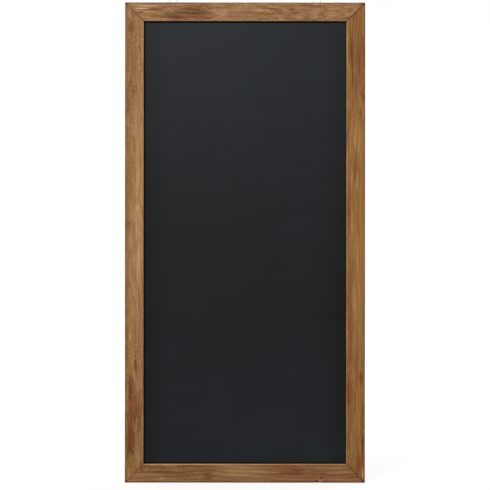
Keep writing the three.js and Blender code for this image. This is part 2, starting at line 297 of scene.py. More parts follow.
LEFT_STILE_MARKS = (
    (500, 5, 560, 9, -0.12, 0.3),
    (390, 30, 280, 11, 0.12, 0.2),
    (150, 18, 130, 20, -0.1),
    (540, 18, 150, 20, 0.09),
    (50, 12, 14, 7, -0.18, 0.9, 0.3),
    (96, 31, 10, 3, -0.15, -0.9),
    (84, 22, 26, 8, 0.0, 0.0, 1.2),
    (132, 28, 18, 6, 0.06, 0.1, 1.4),
    (166, 17, 24, 8, 0.02, 0.7, 0.8),
    (190, 16, 16, 1.4, -0.22, -0.3),
    (211, 6, 24, 4, -0.08, -0.5),
    (246, 6, 15, 5, 0.14),
    (292, 19, 20, 6, -0.15, 0.1),
    (411, 23, 11, 4, -0.12, 0.2),
    (428, 27, 8, 4, 0.12, 0.3, 0.9),
    (530, 31, 40, 6, 0.17, 0.3),
    (580, 23, 90, 1.1, -0.14),
    (622, 28, 40, 8, -0.08, -0.5, 0.8),
    (663, 6, 15, 4, 0.12),
    (720, 22, 44, 10, -0.1, 0.0, 1.0),
    (757, 22, 18, 6, -0.26, 0.2),
    (796, 13, 24, 8, -0.2, -0.8),
    (796, 31, 15, 5, 0.13),
    (840, 17, 48, 16, -0.2, -0.9),
    (863, 6, 17, 5, -0.15),
    (866, 29, 32, 8, -0.18, 0.6),
    (912, 11, 40, 12, -0.32, -0.9, -0.3),
    (911, 34, 27, 4, 0.08, 0.2, 0.9),
    (946, 6, 15, 5, -0.16),
    (946, 31, 15, 6, 0.14),
    (964, 10, 13, 7, -0.1, 1.0),
)

RIGHT_STILE_MARKS = (
    (110, 17, 150, 18, -0.13, -0.6),
    (136, 27, 44, 2.6, -0.25, -0.6),
    (84, 37, 60, 2, 0.14, 0.2),
    (84, 32, 56, 5, -0.14, 0.6),
    (196, 6, 34, 4.5, -0.18, -0.3),
    (231, 9, 20, 4.5, -0.16, 0.6),
    (257, 33, 26, 5, 0.06, 0.8),
    (290, 16, 60, 12, 0.1, 0.7),
    (560, 18, 170, 16, 0.07, 0.4),
    (334, 19, 32, 8, -0.15, -0.6),
    (395, 34, 105, 3.5, -0.08, -1.0),
    (430, 7, 110, 6, 0.06, 1.0),
    (463, 28, 12, 1.3, 0.22, 0.2),
    (600, 29, 90, 6, -0.08, -1.0),
    (648, 2.5, 60, 2, -0.2, 0.7),
    (730, 31, 90, 6, -0.08, -1.0),
    (780, 8, 16, 5, -0.25, 0.7),
    (812, 22, 12, 1.1, -0.25, -0.3),
    (798, 32, 44, 7, -0.2, -0.9),
    (850, 13, 70, 8, 0.04, 1.0),
    (864, 6, 64, 5, -0.15),
    (924, 4.5, 30, 2.2, -0.32, -1.2),
    (958, 13, 24, 8, -0.16, -0.9),
    (981, 5, 15, 1.2, 0.5, 0.7),
)


@dataclass
class Member:
    """One side of the wooden frame. Its own axes are X along it, Y through it and Z across it,
    with the origin at the middle of its outer edge and the panel towards -Z."""

    name: str
    turn: float  # about Y, from the top rail's place
    length: float
    reach: float  # from the board's middle to the outer edge
    run: int  # 1 where X runs from the left or top end, and -1 the other way
    seed: int
    tone: float
    hue: float
    depth: float  # of the stain's colour
    pith: tuple  # its depth and height from the outer front arris, in mm
    slant: tuple  # how far the pith's line leans in each
    rings: float  # how strongly the late wood shows
    lines: float  # and thin lines of the grain
    flecks: float  # and short specks
    swirl: float  # how far the rings bend, in mm
    rubbed_and_lit: float  # how much lighter the inner arris is, from wear and a painted highlight
    reveal: float  # how much lighter the narrow side towards the panel is painted, below 0 darker: painted light and shade
    marks: tuple
    mitres: tuple  # the stain of its mitres, the one at the left or top first

    def matrix(self):
        """Its place on the board."""
        middle = Matrix.Translation((0, 0, HALF_HEIGHT))
        return middle @ Matrix.Rotation(self.turn, 4, "Y") @ Matrix.Translation((0, 0, self.reach))

    def at(self, along, across, depth=0.0):
        """A point in the member's own axes, from millimetres along it, across it and deep."""
        return Vector((self.run * (along * MM - self.length / 2), FRONT + depth * MM, -across * MM))

    def stain_at_ends(self):
        """The mitres' stain at its -X end and at its +X end."""
        return self.mitres[:: self.run]


# How dark each mitre is, at its outer and at its inner end
TOP_LEFT = (0.0, 0.6)
TOP_RIGHT = (0.45, 0.8)
BOTTOM_LEFT = (0.05, 0.45)
BOTTOM_RIGHT = (0.7, 0.5)

MEMBERS = (
    Member(
        "top_rail", turn=0, length=BOARD_WIDTH, reach=HALF_HEIGHT, run=1, seed=1,
        tone=0.555, hue=-0.05, depth=0.97, pith=(34, -25), slant=(0.06, 0.02),
        rings=0.2, lines=0.6, flecks=0.55, swirl=22,
        rubbed_and_lit=0.1, reveal=-0.6, marks=TOP_RAIL_MARKS, mitres=(TOP_LEFT, TOP_RIGHT),
    ),
    Member(
        "bottom_rail", turn=math.pi, length=BOARD_WIDTH, reach=HALF_HEIGHT, run=-1, seed=2,
        tone=0.495, hue=-0.2, depth=0.985, pith=(70, -55), slant=(0.01, 0.01),
        rings=0.25, lines=0.9, flecks=0.25, swirl=10,
        rubbed_and_lit=0.35, reveal=0.1, marks=BOTTOM_RAIL_MARKS, mitres=(BOTTOM_LEFT, BOTTOM_RIGHT),
    ),
    Member(
        "left_stile", turn=-math.pi / 2, length=BOARD_HEIGHT, reach=HALF_WIDTH, run=-1, seed=3,
        tone=0.575, hue=0.0, depth=1.0, pith=(42, -12), slant=(0.03, -0.01),
        rings=0.15, lines=0.45, flecks=0.4, swirl=16,
        rubbed_and_lit=0.1, reveal=-0.4, marks=LEFT_STILE_MARKS, mitres=(TOP_LEFT, BOTTOM_LEFT),
    ),
    Member(
        "right_stile", turn=math.pi / 2, length=BOARD_HEIGHT, reach=HALF_WIDTH, run=1, seed=4,
        tone=0.515, hue=-0.1, depth=1.05, pith=(60, -45), slant=(0.02, 0.02),
        rings=0.2, lines=0.6, flecks=0.2, swirl=10,
        rubbed_and_lit=0.2, reveal=0.1, marks=RIGHT_STILE_MARKS, mitres=(TOP_RIGHT, BOTTOM_RIGHT),
    ),
)

YEARS_GROWTH = 3.4  # the width of one growth ring, in mm
FADE_IN_DEPTH = 0.06  # the share of a mark's reach that a millimetre of depth takes
RIPPLES_OF_A_MARK = 1.3
ACROSS = (0, 1, 1)  # the axes in which the distance from a line along the member counts


def growth_rings(paint, member):
    """How dark the late wood makes each point, 0 to 1, from its distance to the pith."""
    bend = paint.drift((190, 36, 36), (0, member.swirl, member.swirl))
    curl = paint.drift((42, 12, 12), (0, member.swirl / 5, member.swirl / 5))
    place = paint.vector("ADD", paint.vector("ADD", paint.mm, bend), curl)
    x, y, z = paint.split(place)
    depth, height = member.pith
    lean_in, lean_up = member.slant
    in_depth = paint.total(y, -depth, (x, -lean_in))
    in_height = paint.total(z, -height, (x, -lean_up))
    away = paint.vector("LENGTH", paint.join(0.0, in_depth, in_height))
    years = paint.math("DIVIDE", away, YEARS_GROWTH)
    season = paint.math("FRACT", years)
    year = paint.math("FLOOR", years)
    chance = paint.add("TexWhiteNoise", None, year, noise_dimensions="1D").outputs["Value"]
    # The late wood darkens through the year and ends sharply.
    late = paint.minus(paint.step(season, 0.3, 0.88), paint.step(season, 0.9, 1.0))
    return paint.times(late, paint.total(0.2, (chance, 0.8)))


def grain_of(paint, member):
    """The layers of the wood's pattern, most of them noise drawn out along the grain."""
    return SimpleNamespace(
        rings=growth_rings(paint, member),
        streaks=paint.noise((120, 5.5, 5.5), 3.0, 0.6),
        lines=paint.noise((90, 2.2, 2.2), 2.0, 0.6),
        fibres=paint.noise((30, 0.8, 0.8), 2.0, 0.6),
        flecks=paint.noise((6, 2.2, 2.2), 2.0, 0.6),
        mottle=paint.noise((34, 10, 10), 4.0, 0.6),
        figure=paint.noise((240, 34, 34), 2.0),
        hairs=paint.noise((14, 0.28, 0.28), 2.0, 0.65),
        pores=paint.step(paint.noise((9, 0.5, 0.5), 1.0), 0.62, 0.74),
        ripples=paint.noise((4.4, 1.9, 1.9), 3.0, 0.65),
    )


def marks_on(paint, member, grain):
    """What the member's marks add to the tone, to the hue and to the flecks."""
    ragged = paint.total(
        paint.swing(grain.mottle, 0.7),
        paint.swing(grain.streaks, 0.6),
        paint.swing(grain.flecks, 0.8),
        paint.swing(grain.fibres, 0.9),
    )
    sums = [[], [], []]
    for along, across, length, width, *amounts in member.marks:
        offset = paint.vector("SUBTRACT", paint.mm, member.at(along, across) / MM)
        scaled = paint.vector("MULTIPLY", offset, (1 / length, FADE_IN_DEPTH, 1 / width))
        reach = paint.total(paint.vector("LENGTH", scaled), ragged)
        share = paint.step(reach, 0.3, 1.15, 1.0, 0.0)
        for values, amount in zip(sums, amounts):
            values.append((share, amount))
    return [paint.total(0.0, *values) for values in sums]


def mitre_stain(paint, member):
    """What the mitres add to the tone: a thin dark line, and a soft band beside it."""
    half = member.length / 2 / MM
    x, _, z = paint.split(paint.mm)
    beyond = paint.total(half, z, (paint.math("ABSOLUTE", x), -1.0))
    # On the front, the distance from the mitre's line
    from_mitre = paint.times(beyond, math.sqrt(0.5))
    wavering = paint.total(from_mitre, paint.swing(paint.noise((4, 4, 4)), 1.6))
    line = paint.step(wavering, 0.25, 1.3, 1.0, 0.0)
    band = paint.step(from_mitre, 0.0, 9.0, 1.0, 0.0)
    (start_out, start_in), (end_out, end_in) = member.stain_at_ends()
    outer = paint.step(x, -1.0, 1.0, start_out, end_out)
    inner = paint.step(x, -1.0, 1.0, start_in, end_in)
    stain = paint.step(z, -24.0, -8.0, inner, outer)
    return paint.total(0.0, (paint.times(line, stain), -0.75), (band, -0.05))


def edges(paint, member):
    """What the member's edges add to the tone: stain in the mitres, dirt and painted shade on the
    outer arris, painted shade at the outer corners, wear and a painted highlight along the inner
    arris, and painted light and shade on the narrow side towards the panel."""
    front, half, width = FRONT / MM, member.length / 2 / MM, MEMBER_WIDTH / MM
    z = paint.split(paint.mm)[2]
    outer_arris = paint.near((0, front, 0), 0.9, 3.4, ACROSS)
    # Dirt and painted shade: the outer arris darker, unevenly.
    dirt_and_shade = paint.times(outer_arris, paint.step(paint.noise((30, 6, 6)), 0.3, 0.65, 0.5, 1.0))
    # Painted shade: darker near both ends of the outer front edge, at the outer corners.
    start, end = (paint.near((x, front, 0), 2.5, 9) for x in (-half, half))
    # Wear and a painted highlight: the inner arris lighter, most on the bottom rail, which faces
    # the light
    inner_arris = paint.near((0, front, -width), 1.0, 2.6, ACROSS)
    # Painted light and shade on the narrow side towards the panel: darker under the top rail and
    # beside the left stile, lighter on the bottom rail and right stile.
    painted_inner_side = paint.step(z, -width + 0.1, -width + 0.6, 1.0, 0.0)
    return paint.total(
        mitre_stain(paint, member),
        (inner_arris, member.rubbed_and_lit),
        (painted_inner_side, member.reveal),
        (dirt_and_shade, -0.3),
        (paint.math("MAXIMUM", start, end), -0.7),
    )


def stained(paint, member, tone, hue):
    """The colour for a tone and a hue."""
    red, gold = (paint.math("MULTIPLY", hue, sign, clamp=True) for sign in (-1.0, 1.0))
    colour = paint.mix(red, paint.ramp(tone, PLAIN), paint.ramp(tone, RED))
    colour = paint.mix(gold, colour, paint.ramp(tone, GOLD))
    deepened = paint.add("HueSaturation", 0.5, member.depth, 1.0, 1.0, colour)
    return deepened.outputs[0]


def wood(member):
    """A member's material: its own grain, its marks and its worn edges."""
    paint = Paint(f"wood_{member.name}", member.seed)
    grain = grain_of(paint, member)
    mark_tone, mark_hue, mark_flecks = marks_on(paint, member, grain)
    flecks = paint.total(member.flecks, paint.math("MINIMUM", mark_flecks, 0.0))
    ripples = paint.times(paint.math("MAXIMUM", mark_flecks, 0.0), RIPPLES_OF_A_MARK)
    tone = paint.total(
        member.tone,
        (grain.rings, -member.rings),
        paint.swing(grain.streaks, 0.3),
        paint.swing(grain.lines, member.lines),
        paint.swing(grain.fibres, 0.45),
        paint.swing(grain.hairs, 0.4),
        (grain.pores, -0.14),
        paint.swing(grain.flecks, flecks),
        paint.swing(grain.ripples, ripples),
        paint.swing(grain.mottle, 0.25),
        paint.swing(grain.figure, 0.3),
        mark_tone,
        edges(paint, member),
    )
    hue = paint.total(
        member.hue,
        paint.swing(paint.noise((150, 15, 15)), 2.4),
        (grain.rings, -0.3),
        mark_hue,
    )
    roughness = paint.total(0.62, paint.swing(grain.streaks, 0.2), (grain.rings, -0.06))
    finer = ((grain.hairs, 0.5), (grain.rings, 0.5), (grain.pores, -0.6))
    paint.bump(paint.total(grain.lines, grain.fibres, *finer), 0.1)
    colour = stained(paint, member, tone, hue)
    return paint.set(Base_Color=colour, Roughness=roughness, Specular_IOR_Level=0.22)


def laminate():
    """The matte writing surface, with old chalk wiped over it, painted light that makes it lighter
    towards the top and a little at the bottom, and painted shade along its sides and at the frame's
    edge.
    """
    paint = Paint("black_laminate")
    haze = paint.noise((170, 50, 210), 4.0, 0.55)
    wipes = paint.noise((260, 50, 26), 3.0, 0.6)
    specks = paint.step(paint.noise((2.2, 2.2, 2.2), 1.0), 0.74, 0.8)
    low, high = (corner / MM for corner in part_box("writing_surface"))
    hidden = REBATE_WIDTH / MM
    middle = (low.z + high.z) / 2
    x, _, z = paint.split(paint.mm)
    above = paint.minus(z, middle)
    from_side = paint.minus(high.x - hidden, paint.math("ABSOLUTE", x))
    from_end = paint.minus(high.z - middle - hidden, paint.math("ABSOLUTE", above))
    # Painted shade: darker within 60 mm of each side.
    rim = paint.step(from_side, 0, 60, 1.0, 0.0)
    # Painted shadow: a dark line where the surface goes in under the frame, mostly gone on the
    # right
    painted_seam_shadow = paint.step(paint.math("MINIMUM", from_side, from_end), 0.5, 2.8, 1.0, 0.0)
    painted_seam_shadow = paint.times(painted_seam_shadow, paint.step(x, 190, 205, 1.0, 0.1))
    chalk_and_painted_light = paint.total(
        0.42,
        paint.swing(haze, 0.5),
        paint.swing(wipes, 0.3),
        (specks, 0.25),
        (rim, -0.3),
        (painted_seam_shadow, -0.6),
        # Painted light: lighter towards the top, and a little lighter towards the bottom.
        paint.step(above, -50, 450, 0.0, 0.42),
        paint.step(above, -460, -150, 0.3, 0.0),
    )
    colour = paint.ramp(chalk_and_painted_light, ("07080a", "121518", "1f2326"), (0.0, 0.5, 1.0))
    roughness = paint.total(0.44, (haze, 0.12), (painted_seam_shadow, 0.4))
    paint.bump(paint.noise((0.7, 0.7, 0.7), 2.0), 0.02)
    return paint.set(Base_Color=colour, Roughness=roughness, Specular_IOR_Level=0.1)


def fibreboard():
    paint = Paint("fibreboard")
    fibres = paint.noise((2.5, 0.6, 2.5), 3.0, 0.6)
    colour = paint.ramp(fibres, ("54402b", "7a5a3c", "96754f"), (0.3, 0.5, 0.7))
    paint.bump(fibres, 0.15)
    return paint.set(Base_Color=colour, Roughness=0.85, Specular_IOR_Level=0.25)


def kraft_paper():
    """The backing sheet: brown paper with curled fibres, soft clouds and shallow creases."""
    paint = Paint("brown_paper", 5)
    curled = paint.vector("ADD", paint.grain, paint.drift((9, 9, 9), (9, 9, 9)))
    fibres = paint.total(paint.threads(curled, 3.6, 0.03), paint.threads(curled, 2.3, 0.035))
    creases = paint.noise((110, 60, 160), 3.0, 0.55)
    tone = paint.total(
        0.46,
        (fibres, 0.09),
        paint.swing(paint.noise((1.1, 1.1, 1.1), 2.0), 0.4),
        paint.swing(paint.noise((24, 40, 30), 4.0, 0.6), 0.4),
        paint.swing(paint.noise((180, 40, 240), 2.0), 0.4),
        (paint.threads(paint.mm, 110, 0.006), 0.05),
    )
    colour = paint.ramp(tone, ("6d5439", "8f714f", "a98b66"), (0.15, 0.5, 0.85))
    paint.bump(paint.total(creases, (fibres, 0.05)), 0.4)
    return paint.set(Base_Color=colour, Roughness=0.8, Specular_IOR_Level=0.25)


def plated(name, seed, codes, roughness, scratch):
    """Plated steel with fine scratches, a faintly cloudy coat and a few dull spots."""
    paint = Paint(name, seed)
    cloud = paint.noise((9, 9, 9), 3.0)
    scratches = paint.noise((9, 0.25, 0.25), 2.0, 0.6)
    spots = paint.step(paint.noise((1.3, 1.3, 1.3), 1.0), 0.68, 0.78)
    colour = paint.ramp(paint.total(cloud, (spots, -0.15)), codes, (0.1, 0.5, 0.9))
    swings = (paint.swing(cloud, 0.12), paint.swing(scratches, scratch))
    rough = paint.total(roughness, (spots, 0.1), *swings)
    paint.bump(scratches, 0.02)
    return paint.set(Base_Color=colour, Metallic=1.0, Roughness=rough)


def rubber():
    paint = Paint("black_rubber", 7)
    dust = paint.noise((3, 3, 3), 4.0, 0.6)
    colour = paint.ramp(dust, ("151516", "1e1e1f", "343331"), (0.3, 0.55, 0.75))
    paint.bump(paint.noise((0.5, 0.5, 0.5), 2.0), 0.05)
    return paint.set(Base_Color=colour, Roughness=0.75, Specular_IOR_Level=0.35)


# Outlines


def arc(centre, radius, start, end, steps):
    """Points round part of a circle, in degrees."""
    angles = [math.radians(start + (end - start) * i / steps) for i in range(steps + 1)]
    return [(centre[0] + radius * math.cos(a), centre[1] + radius * math.sin(a)) for a in angles]


def between(start, end, steps):
    """Points from just after start to just before end."""
    return [
        (start[0] + (end[0] - start[0]) * i / steps, start[1] + (end[1] - start[1]) * i / steps)
        for i in range(1, steps)
    ]


def in_front_view(point, y):
    """The 3-D point at y for an outline's point of x and z."""
    return Vector((point[0], y, point[1]))


# Meshes

SQUARE = ((-1, -1), (1, -1), (1, 1), (-1, 1))


def in_scene(name, data):
    """A new object in the scene."""
    thing = bpy.data.objects.new(name, data)
    bpy.context.scene.collection.objects.link(thing)
    return thing


def new_object(name, vertices, faces):
    mesh = bpy.data.meshes.new(name)
    mesh.from_pydata([tuple(v) for v in vertices], [], faces)
    mesh.update()
    return in_scene(name, mesh)


def coat(piece, material):
    """Gives the whole of a piece one material."""
    piece.data.materials.clear()
    piece.data.materials.append(material)


def bands(rings, count):
    """The faces of a skin that joins each of some rings of count points to the next."""
    return [
        (a + i, a + count + i, a + count + (i + 1) % count, a + (i + 1) % count)
        for a in range(0, (rings - 1) * count, count)
        for i in range(count)
    ]


def tube(rings, count):
    """The faces of a closed solid: such a skin and its two ends."""
    last = (rings - 1) * count
    ends = [tuple(range(count)), tuple(range(last, last + count))[::-1]]
    return ends + bands(rings, count)


def outward(piece):
    """Makes a closed mesh's faces point out of it."""
    mesh = bmesh.new()
    mesh.from_mesh(piece.data)
    bmesh.ops.recalc_face_normals(mesh, faces=mesh.faces)
    mesh.to_mesh(piece.data)
    mesh.free()
    return piece


def prism(name, outline, low, high, lift=in_front_view):
    """A closed solid: an outline, run from low to high. lift makes a 3-D point of one of the
    outline's points and a height."""
    count = len(outline)
    vertices = [lift(p, low) for p in outline] + [lift(p, high) for p in outline]
    return outward(new_object(name, vertices, tube(2, count)))


def lathe(name, profile, sides, axis):
    """A closed solid turned about the line along Y through axis. The profile is a list of
    radius and height, starting and ending on the axis."""
    rings = [(r, h) for r, h in profile if r > 0]
    vertices = []
    for radius, height in rings:
        for k in range(sides):
            a = 2 * math.pi * k / sides
            vertices.append(axis + Vector((radius * math.cos(a), height, radius * math.sin(a))))
    first, last = len(vertices), len(vertices) + 1
    vertices += [axis + Vector((0, profile[end][1], 0)) for end in (0, -1)]
    top = (len(rings) - 1) * sides
    faces = bands(len(rings), sides)
    for k in range(sides):
        j = (k + 1) % sides
        faces += [(first, k, j), (last, top + j, top + k)]
    return outward(new_object(name, vertices, faces))


def merged(name, pieces):
    """One object in place of several."""
    vertices, faces = [], []
    for piece in pieces:
        start = len(vertices)
        vertices += [v.co.copy() for v in piece.data.vertices]
        faces += [tuple(start + i for i in polygon.vertices) for polygon in piece.data.polygons]
        bpy.data.objects.remove(piece)
    return new_object(name, vertices, faces)


def boolean(piece, tool, operation):
    """Cuts or intersects piece with tool, applies it and removes tool."""
    modifier = piece.modifiers.new("boolean", "BOOLEAN")
    modifier.operation = operation
    modifier.solver = "EXACT"
    modifier.object = tool
    bpy.context.view_layer.update()
    evaluated = piece.evaluated_get(bpy.context.evaluated_depsgraph_get())
    mesh = bpy.data.meshes.new_from_object(evaluated)
    piece.modifiers.clear()
    old, piece.data = piece.data, mesh
    bpy.data.meshes.remove(old)
    bpy.data.objects.remove(tool)


def round_edges(piece, width):
    """Rounds the edges where faces turn by more than 50 degrees."""
    bevel = piece.modifiers.new("soft_edges", "BEVEL")
    bevel.width = width
    bevel.segments = 2
    bevel.angle_limit = math.radians(50)


def finish_piece(piece, material, body, node, sharp_from=None):
    """Coats a piece, hangs it on the body it rides on and hides the CAD node it stands for.
    Its edges are shaded as round up to sharp_from, in degrees."""
    coat(piece, material)
    if sharp_from:
        mesh = piece.data
        mesh.polygons.foreach_set("use_smooth", [True] * len(mesh.polygons))
        mesh.set_sharp_from_angle(angle=math.radians(sharp_from))
    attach(piece, body)
    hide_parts(node)


def axis_of(node):
    """The line along Y through the middle of a node."""
    low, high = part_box(node)
    return Vector(((low.x + high.x) / 2, 0, (low.z + high.z) / 2))


# The wooden members

FACE_WEAR = 0.15
WEAR_WAVES = (22, 90, 90)  # how closely the wear changes along each axis, per metre
WEAR_SEED_STEP = 7.3
RING_STEP = 2.5 * MM
MITRE_RINGS = (0.0, 0.25, 0.6, 1.2, 2.2)  # rings near a mitre, in mm from its face
EVEN_RINGS_FROM = 3 * MM  # how far from the mitre the evenly spaced rings begin
MITRE_ZONE = 4 * MM  # what their count leaves out at each mitre
MITRE_GAP = 0.04 * MM
STAIN_FADE = 24 * MM  # how far in a mitre's outer stain turns into its inner one
CHAMFER = 0.7  # how far from its face a mitre's front arris is broken, in mm
CHAMFER_DEPTH = 1.2 * MM
CENTRE_OF_SECTION = Vector((0, 0, -WALL_WIDTH / 2))
V_NAIL_STEEL = 0.5 * MM
SCREW_HOLE_RADIUS = 2.05 * MM


def even_wear(points, wear):
    return [(point, wear) for point in points]


def arris_wear(points, most):
    """An arris wears like the face at its ends, and by most beyond that in its middle."""
    last = len(points) - 1
    return [(p, math.sin(math.pi * i / last) * most + FACE_WEAR) for i, p in enumerate(points)]


def member_section():
    """The section's outline as across, negative towards the panel, and depth, with how much
    wear each point takes: 1 on a worn arris, less on a face and 0 where nothing rubs."""
    outer = arc((-OUTER_ARRIS, FRONT + OUTER_ARRIS), OUTER_ARRIS, -90, 0, 8)
    back = arc((-BACK_ARRIS, BACK - BACK_ARRIS), BACK_ARRIS, 0, 90, 3)
    inner = arc((INNER_ARRIS - MEMBER_WIDTH, FRONT + INNER_ARRIS), INNER_ARRIS, 180, 270, 5)
    wall_back, wall_lip = (-WALL_WIDTH, BACK), (-WALL_WIDTH, LIP_BACK)
    lip = (-MEMBER_WIDTH, LIP_BACK)
    hidden = between(back[-1], wall_back, 7) + [wall_back]
    hidden += between(wall_back, wall_lip, 4) + [wall_lip]
    hidden += between(wall_lip, lip, 3) + [lip]
    section = arris_wear(outer, 0.85)
    section += even_wear(between(outer[-1], back[0], 6), FACE_WEAR)
    section += even_wear(back, 0.3)
    section += even_wear(hidden, 0.0)
    section += even_wear(between(lip, inner[0], 3), 0.05)
    section += arris_wear(inner, 0.5)
    section += even_wear(between(inner[-1], outer[0], 14), FACE_WEAR)
    return section


def dents_of(member):
    """Knocks, as a place, a radius and a depth in millimetres."""
    draw = random.Random(member.seed)
    length = member.length / MM
    dents = []

    def knock(every, clear, across, deep, radii, depths):
        """Knocks on a line along the member, one every so many millimetres on average."""
        for _ in range(int(length / every)):
            along = draw.uniform(clear, length - clear)
            place = member.at(along, draw.uniform(*across), deep)
            dents.append((place, draw.uniform(*radii), draw.uniform(*depths)))

    # On the outer arris, on the inner arris and on the face
    knock(every=60, clear=20, across=(0, 1.2), deep=0.6, radii=(2, 5), depths=(0.15, 0.45))
    knock(every=90, clear=45, across=(38.8, 39), deep=0.4, radii=(1.5, 3), depths=(0.1, 0.3))
    knock(every=110, clear=45, across=(6, 34), deep=0, radii=(1.5, 4), depths=(0.06, 0.2))
    if member.name == "bottom_rail":
        dents += [(member.at(407, 1.5, 0.5), 4.5, 1.3), (member.at(399, 0.5, 0.5), 5, 0.8)]
    if member.name in ("top_rail", "left_stile"):
        dents.append((member.at(28, 26), 4, 0.7))
    return dents


def rubbed_away(member, dents, point, wear):
    """How deep wear and knocks have gone at a point, in millimetres."""
    x, y, z = (p * waves for p, waves in zip(point, WEAR_WAVES))
    place = Vector((x, y, z + member.seed * WEAR_SEED_STEP))
    broad, fine = max(0.0, noise.noise(place)), abs(noise.noise(place * 5))
    rub = wear * (0.1 + 0.3 * broad + 0.12 * fine)
    for centre, radius, deep in dents:
        away = (point - centre).length / (radius * MM)
        if away < 1:
            rub += deep * (1 - away * away) ** 2
    return rub


def worn(member, dents, point, wear, from_end):
    """A point of the surface, moved inwards by wear, knocks and the chamfer at the mitre."""
    inward = (CENTRE_OF_SECTION - Vector((0, point.y, point.z))).normalized()
    rub = rubbed_away(member, dents, point, wear) if wear else 0.0
    if point.y < FRONT + CHAMFER_DEPTH and from_end < CHAMFER:
        outer, inner = member.stain_at_ends()[1 if point.x > 0 else 0]
        stain = outer + (inner - outer) * min(1, -point.z / STAIN_FADE)
        rub += (0.06 + 0.3 * stain) * (1 - from_end / CHAMFER)
    return point + inward * rub * MM


def member_surface(member):
    """Rings of points along the member, of which the ones near the mitres lie along them."""
    half = member.length / 2 - MITRE_GAP
    steps = int(2 * (member.length / 2 - MEMBER_WIDTH - MITRE_ZONE) / RING_STEP)
    rings = [(-1, e) for e in MITRE_RINGS] + [(0, -1 + 2 * i / steps) for i in range(steps + 1)]
    rings += [(1, e) for e in MITRE_RINGS[::-1]]
    section = member_section()
    dents = dents_of(member)
    points = []
    for end, value in rings:
        for (across, depth), wear in section:
            if end:
                start = Vector((end * (half + across - value * MM), depth, across))
                point = worn(member, dents, start, wear, value)
                point.x = end * (half + point.z - value * MM)
            else:
                start = Vector((value * (half + across - EVEN_RINGS_FROM), depth, across))
                point = worn(member, dents, start, wear, math.inf)
            points.append(point)
    return points, len(rings), len(section)


def build_member(member, material):
    """A swept member whose rings close up on the mitres, with the slots for its hardware."""
    points, rings, count = member_surface(member)
    piece = new_object(f"wood_{member.name}", points, tube(rings, count))
    piece.matrix_world = member.matrix()
    outward(piece)
    boolean(piece, slots_of(member), "DIFFERENCE")
    finish_piece(piece, material, "board", member.name, sharp_from=30)


def v_nail_slot(node):
    """The slot round a V-nail, which points to the nearest corner of the board."""
    low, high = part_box(node)
    side, tip_x = (1, high.x) if low.x > 0 else (-1, low.x)
    end, tip_z = (1, high.z) if low.z > HALF_HEIGHT else (-1, low.z)
    leg = high.x - low.x + FIT
    steel = V_NAIL_STEEL + FIT
    plan = [(-FIT, -FIT), (leg, -FIT), (leg, steel), (steel, steel), (steel, leg), (-FIT, leg)]
    outline = [(tip_x - side * a, tip_z - end * b) for a, b in plan]
    return prism(f"{node}_slot", outline, low.y - FIT, BACK + MM)


def retaining_point_slot(node):
    low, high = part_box(node)
    left, right, foot, top = low.x - FIT, high.x + FIT, low.z - FIT, high.z + FIT
    outline = [(left, foot), (right, foot), (right, top), (left, top)]
    return prism(f"{node}_slot", outline, low.y - FIT, high.y + FIT)


def screw_hole(node):
    axis = axis_of(node)
    hole = arc((axis.x, axis.z), SCREW_HOLE_RADIUS, 0, 360, 32)[:-1]
    return prism(f"{node}_hole", hole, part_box(node)[0].y - FIT, BACK + MM)


def slots_of(member):
    """All that is cut out of a member, as one tool."""
    side = member.name.split("_")[0]
    tools = []
    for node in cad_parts:
        if node.startswith("v_nail") and side in node.split("_"):
            tools.append(v_nail_slot(node))
        if node.startswith(f"retaining_point_{side}_"):
            tools.append(retaining_point_slot(node))
        if node.startswith("hanger_screw") and side == "top":
            tools.append(screw_hole(node))
    return outward(merged(f"{member.name}_slots", tools))


# The hangers

RING_CORNER = 2.7 * MM
STRAP_STEEL = 1.0 * MM
STRAP_SEAM = 0.03 * MM  # half the gap between the strap's layers
STRAP_NECK = 2.2 * MM  # from the eye to where the outer layer meets the inner one
STRAP_HOLE_RADIUS = 2.2 * MM
STRAP_TRIM = 0.02 * MM  # what cutting the strap's round end takes off its sides


def ring_outline(half, pivot, crown):
    """The middle of the ring's wire as x and z: a bar, two legs and a round end."""
    bar, leg_foot, leg_top = half - RING_CORNER, pivot + RING_CORNER, crown - half
    outline = [(0, pivot)] + between((0, pivot), (bar, pivot), 8)
    outline += arc((bar, leg_foot), RING_CORNER, -90, 0, 12)
    outline += between((half, leg_foot), (half, leg_top), 12)
    outline += arc((0, leg_top), half, 0, 180, 48)
    outline += between((-half, leg_top), (-half, leg_foot), 12)
    outline += arc((-bar, leg_foot), RING_CORNER, 180, 270, 12)
    return outline + between((-bar, pivot), (0, pivot), 8)


def wire_along(name, path, radius, sides):
    """A closed round wire along a closed path of points in a plane of constant Y."""
    count = len(path)
    depth = Vector((0, 1, 0))
    vertices = []
    for i, point in enumerate(path):
        ahead = (path[(i + 1) % count] - path[i - 1]).normalized()
        across = ahead.cross(depth).normalized()
        for k in range(sides):
            angle = 2 * math.pi * k / sides
            vertices.append(point + radius * (across * math.cos(angle) + depth * math.sin(angle)))
    # The ring after the last is the first one again.
    faces = [tuple(i % len(vertices) for i in face) for face in bands(count + 1, sides)]
    return outward(new_object(name, vertices, faces))


def build_ring(side, material):
    """The wire ring: a bar through the strap's eye, two legs and a round end."""
    node = f"hanging_ring_{side}"
    low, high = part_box(node)
    wire = (high.y - low.y) / 2
    middle, depth = (low.x + high.x) / 2, (low.y + high.y) / 2
    outline = ring_outline((high.x - low.x) / 2 - wire, low.z + wire, high.z - wire)
    path = [Vector((middle + x, depth, z)) for x, z in outline]
    piece = wire_along(f"ring_{side}", path, wire, sides=20)
    finish_piece(piece, material, f"ring_{side}", node, sharp_from=60)


